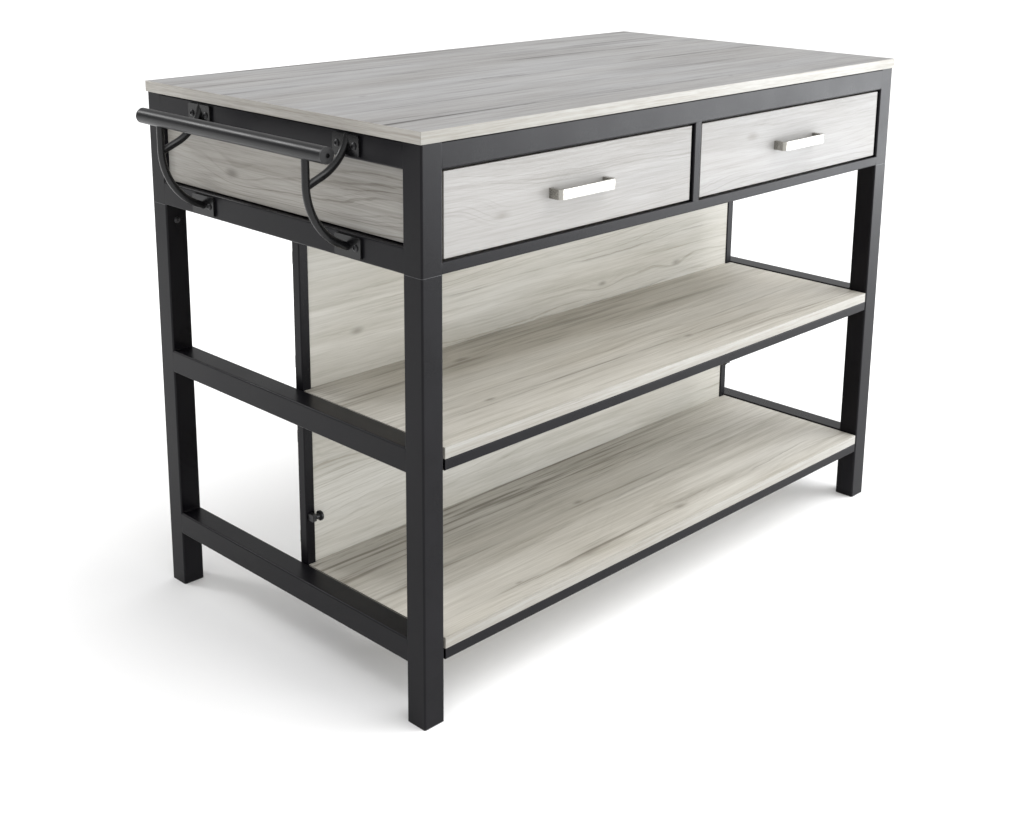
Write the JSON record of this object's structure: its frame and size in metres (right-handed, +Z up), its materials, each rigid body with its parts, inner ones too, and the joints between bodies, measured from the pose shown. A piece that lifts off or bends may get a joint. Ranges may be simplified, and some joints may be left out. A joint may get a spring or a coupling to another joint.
{
  "type": "kitchen island",
  "caption": "Free-standing kitchen island: wood-faced drawers in a square-tube steel frame, open shelves in front of a back panel, knee room behind, and a towel bar on one end.",
  "frame": {"origin": "on the floor, under the middle of the whole footprint, with the towel bar and the drawer pulls", "axes": "+X to the right along the worktop's length, seen from the drawer side; +Y from the drawers to the back; +Z up"},
  "size_m": [1.3306, 0.71, 0.914],
  "materials": {
    "black_steel": "satin charcoal powder coat",
    "grey_oak": "matt grey-washed oak laminate, grain along the length",
    "edge_band": "matt edge banding, a little lighter than the boards",
    "pale_board": "plain pale board",
    "zinc_steel": "zinc-plated",
    "satin_nickel": "satin nickel",
    "black_plastic": "moulded black plastic",
    "gunmetal_tube": "smooth gunmetal coat",
    "black_oxide": "black oxide"
  },
  "bodies": {
    "frame": {"worktop": "grey_oak", "edge_strips": "edge_band", "corner_posts": "black_steel", "front_top_rail": "black_steel", "rear_top_rail": "black_steel", "left_top_rail": "black_steel", "right_top_rail": "black_steel", "front_bottom_rail": "black_steel", "rear_bottom_rail": "black_steel", "left_bottom_rail": "black_steel", "right_bottom_rail": "black_steel", "mullion": "black_steel", "left_apron_panel": "grey_oak", "right_apron_panel": "grey_oak", "rear_apron_panel": "grey_oak", "left_runner_board": "pale_board", "right_runner_board": "pale_board", "centre_runner_board": "pale_board", "front_left_leg": "black_steel", "front_right_leg": "black_steel", "rear_left_leg": "black_steel", "rear_right_leg": "black_steel", "left_side_rails": "black_steel", "right_side_rails": "black_steel", "leg_sleeves": "zinc_steel", "foot_glides": "black_plastic", "mid_shelf": "grey_oak", "low_shelf": "grey_oak", "shelf_front_rails": "black_steel", "shelf_rear_rails": "black_steel", "shelf_end_rails": "black_steel", "shelf_spacers": "zinc_steel", "left_back_post": "black_steel", "right_back_post": "black_steel", "upper_back_panel": "grey_oak", "lower_back_panel": "grey_oak", "panel_studs": "black_oxide", "steel_tabs": "black_steel", "frame_bolts": "black_oxide", "wood_screws": "zinc_steel", "towel_bar": "gunmetal_tube", "towel_bar_caps": "black_plastic", "front_towel_bracket": "black_steel", "rear_towel_bracket": "black_steel", "slide_outers": "zinc_steel"},
    "left_drawer": {"left_slide_inners": "zinc_steel", "left_drawer_front": "grey_oak", "left_drawer_box": "pale_board", "left_drawer_bottom": "pale_board", "left_drawer_pull": "satin_nickel", "left_drawer_screws": "zinc_steel"},
    "left_slide_mid": {"left_slide_middles": "zinc_steel"},
    "right_drawer": {"right_slide_inners": "zinc_steel", "right_drawer_front": "grey_oak", "right_drawer_box": "pale_board", "right_drawer_bottom": "pale_board", "right_drawer_pull": "satin_nickel", "right_drawer_screws": "zinc_steel"},
    "right_slide_mid": {"right_slide_middles": "zinc_steel"}
  },
  "joints": [
    {"name": "left_drawer", "type": "slide", "parent": "frame", "child": "left_drawer", "axis": [0, -1, 0], "range_m": [0, 0.4]},
    {"name": "left_slide_mid", "type": "slide", "parent": "frame", "child": "left_slide_mid", "axis": [0, -1, 0], "range_m": [0, 0.2]},
    {"name": "right_drawer", "type": "slide", "parent": "frame", "child": "right_drawer", "axis": [0, -1, 0], "range_m": [0, 0.4]},
    {"name": "right_slide_mid", "type": "slide", "parent": "frame", "child": "right_slide_mid", "axis": [0, -1, 0], "range_m": [0, 0.2]}
  ],
  "couplings": [
    {"joint": "left_slide_mid", "follows": "left_drawer", "ratio": 0.5},
    {"joint": "right_slide_mid", "follows": "right_drawer", "ratio": 0.5}
  ]
}
